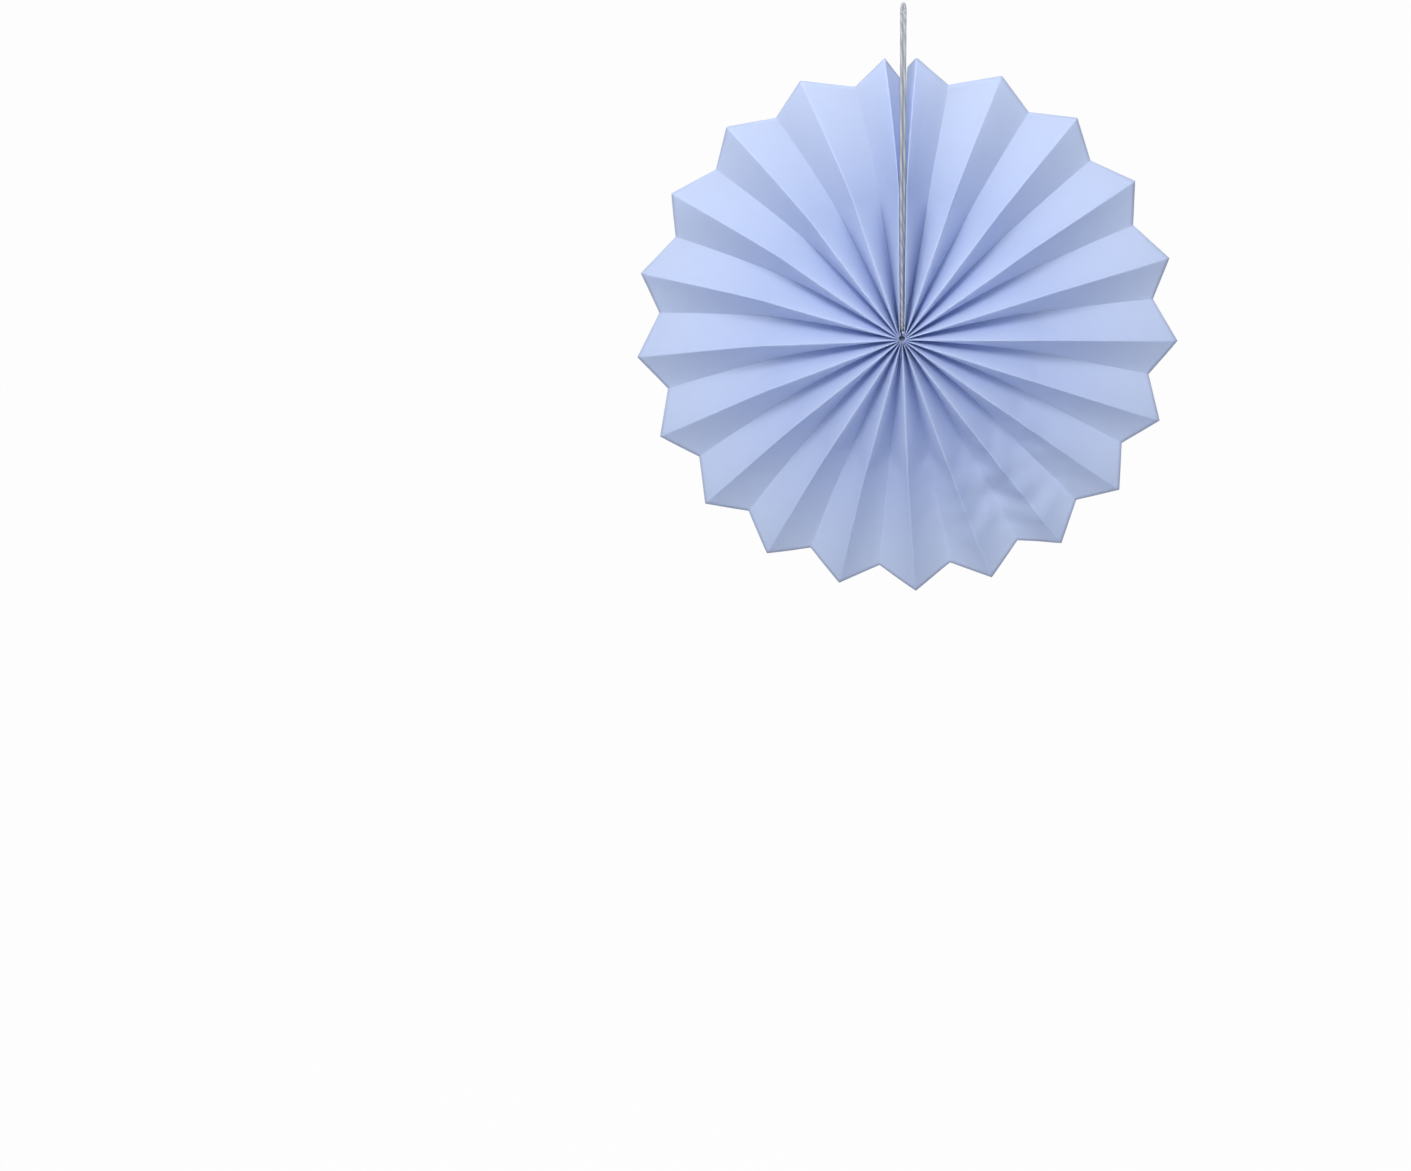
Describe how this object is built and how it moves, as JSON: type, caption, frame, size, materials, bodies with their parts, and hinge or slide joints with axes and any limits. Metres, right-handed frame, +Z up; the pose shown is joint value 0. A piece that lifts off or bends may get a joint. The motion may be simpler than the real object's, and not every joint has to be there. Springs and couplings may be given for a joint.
{
  "type": "hanging paper fan rosette",
  "caption": "Round wall decoration pleated from one paper strip into a full ring, gathered at the hub and hung by a thin cord with a closed loop.",
  "frame": {"origin": "place of the hook, inside the bend of the cord's loop", "axes": "+Z up along the cord, +Y from the front of the fan to its back, +X to the right as seen from the front"},
  "size_m": [0.2995, 0.0299, 0.3299],
  "materials": {
    "paper": "matte",
    "cord": "matte",
    "tape": "matte"
  },
  "bodies": {
    "root": {"folded_fan": "paper", "hanging_cord": "cord", "seam_tape": "tape"}
  },
  "joints": []
}
